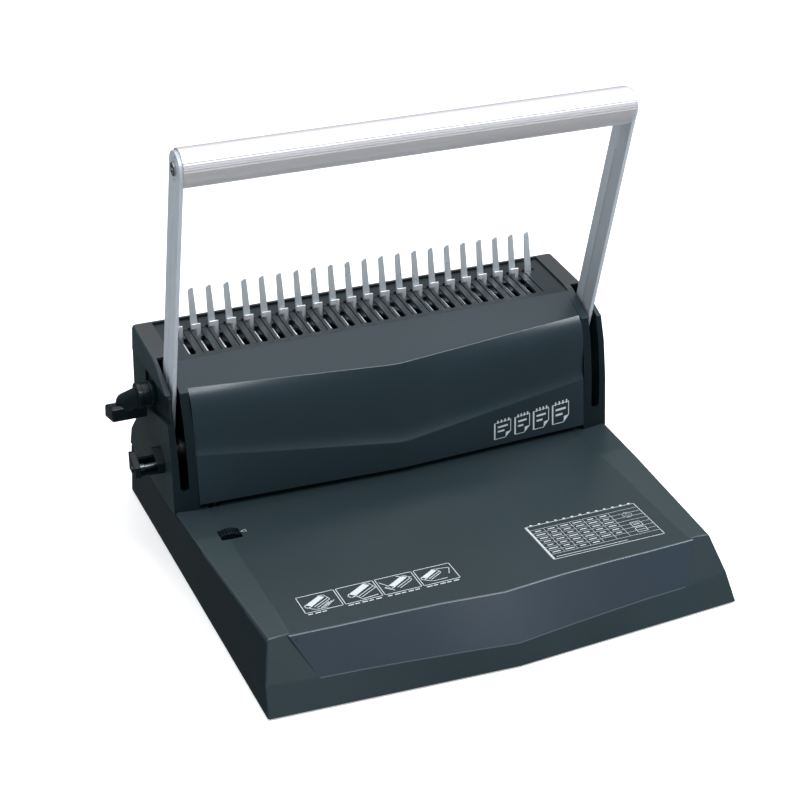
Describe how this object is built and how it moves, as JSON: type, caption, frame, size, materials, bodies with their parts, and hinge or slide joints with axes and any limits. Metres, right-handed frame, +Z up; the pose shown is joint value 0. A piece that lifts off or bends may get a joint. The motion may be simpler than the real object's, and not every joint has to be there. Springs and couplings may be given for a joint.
{
  "type": "comb binding machine",
  "caption": "Manual desktop comb binder: a fold-down handle punches a row of slots in paper, and a side lever opens plastic comb rings held on steel fingers.",
  "frame": {"origin": "on the resting surface and the left-right centre plane, 8 mm in front of the punch body's front foot at its middle, and 136.5 mm in front of the base's back edge", "axes": "+X to the user's right, +Y to the back of the machine, +Z up; the user stands at -Y"},
  "size_m": [0.3947, 0.346, 0.343],
  "materials": {
    "shell_dark": "satin moulded plastic, dark green-grey",
    "shell_top": "satin moulded plastic, charcoal",
    "black_plastic": "fine-grained black plastic",
    "rubber": "soft moulded feet",
    "steel": "bright steel",
    "zinc_steel": "zinc plated",
    "rail_plastic": "natural low-friction plastic",
    "screw_steel": "plated",
    "bar_aluminium": "bead-blasted and clear anodised"
  },
  "bodies": {
    "machine": {"base_cover": "shell_dark", "bottom_plate": "shell_dark", "rubber_feet": "rubber", "base_screws": "screw_steel", "top_cover": "shell_top", "left_cheek": "shell_dark", "right_cheek": "shell_dark", "rear_cover": "shell_dark", "comb_deck": "shell_top", "comb_fingers": "steel", "slot_guides": "steel", "left_frame": "zinc_steel", "right_frame": "zinc_steel", "frame_screws": "screw_steel", "die_plate": "steel", "guide_plate": "steel", "throat_spacers": "steel", "paper_stop": "zinc_steel", "shaft_bushes": "zinc_steel", "lever_bushes": "zinc_steel", "spring_posts": "zinc_steel", "slide_rails": "rail_plastic", "lock_bracket": "black_plastic", "return_springs": "zinc_steel", "wheel_cradle": "shell_dark"},
    "handle": {"left_arm": "zinc_steel", "right_arm": "zinc_steel", "handle_bar": "bar_aluminium", "handle_screws": "screw_steel", "handle_shaft": "zinc_steel", "drive_cranks": "zinc_steel"},
    "punch": {"pressure_bar": "zinc_steel", "punch_pins": "steel"},
    "opener_lever": {"comb_lever": "black_plastic", "lever_shaft": "zinc_steel", "lever_cranks": "zinc_steel"},
    "opener_hooks": {"hook_plate": "zinc_steel", "moving_hooks": "steel"},
    "handle_lock": {"lock_pin": "steel"},
    "guide_wheel": {"edge_wheel": "black_plastic"},
    "side_guide": {"edge_guide": "black_plastic"},
    "tray": {"chip_tray": "black_plastic"}
  },
  "joints": [
    {"name": "handle_swing", "type": "hinge", "parent": "machine", "child": "handle", "pos_m": [0, 0.052, 0.0765], "axis": [1, 0, 0], "range_deg": [0, 72], "stiffness_Nm_per_rad": 0.8, "springref_deg": -51.57},
    {"name": "punch_stroke", "type": "slide", "parent": "machine", "child": "punch", "axis": [0, 0, -1], "range_m": [0, 0.0152], "deforming": ["return_springs"]},
    {"name": "lever_pull", "type": "hinge", "parent": "machine", "child": "opener_lever", "pos_m": [0, 0.057, 0.1255], "axis": [1, 0, 0], "range_deg": [0, 114]},
    {"name": "hooks_slide", "type": "slide", "parent": "machine", "child": "opener_hooks", "axis": [0, -1, 0], "range_m": [0, 0.032]},
    {"name": "lock_slide", "type": "slide", "parent": "machine", "child": "handle_lock", "axis": [1, 0, 0], "range_m": [0, 0.008]},
    {"name": "wheel_turn", "type": "hinge", "parent": "machine", "child": "guide_wheel", "pos_m": [-0.1537, -0.033, 0.0348], "axis": [0, 1, 0], "range_deg": [-35, 35]},
    {"name": "guide_slide", "type": "slide", "parent": "machine", "child": "side_guide", "axis": [1, 0, 0], "range_m": [-0.00287, 0.00287]},
    {"name": "tray_pull", "type": "slide", "parent": "machine", "child": "tray", "axis": [0, 1, 0], "range_m": [0, 0.12]}
  ],
  "couplings": [
    {"joint": "punch_stroke", "follows": "handle_swing", "m_per_rad": 0.011937},
    {"joint": "lever_pull", "follows": "hooks_slide", "rad_per_m": 62.177},
    {"joint": "wheel_turn", "follows": "guide_slide", "rad_per_m": 212.99}
  ]
}
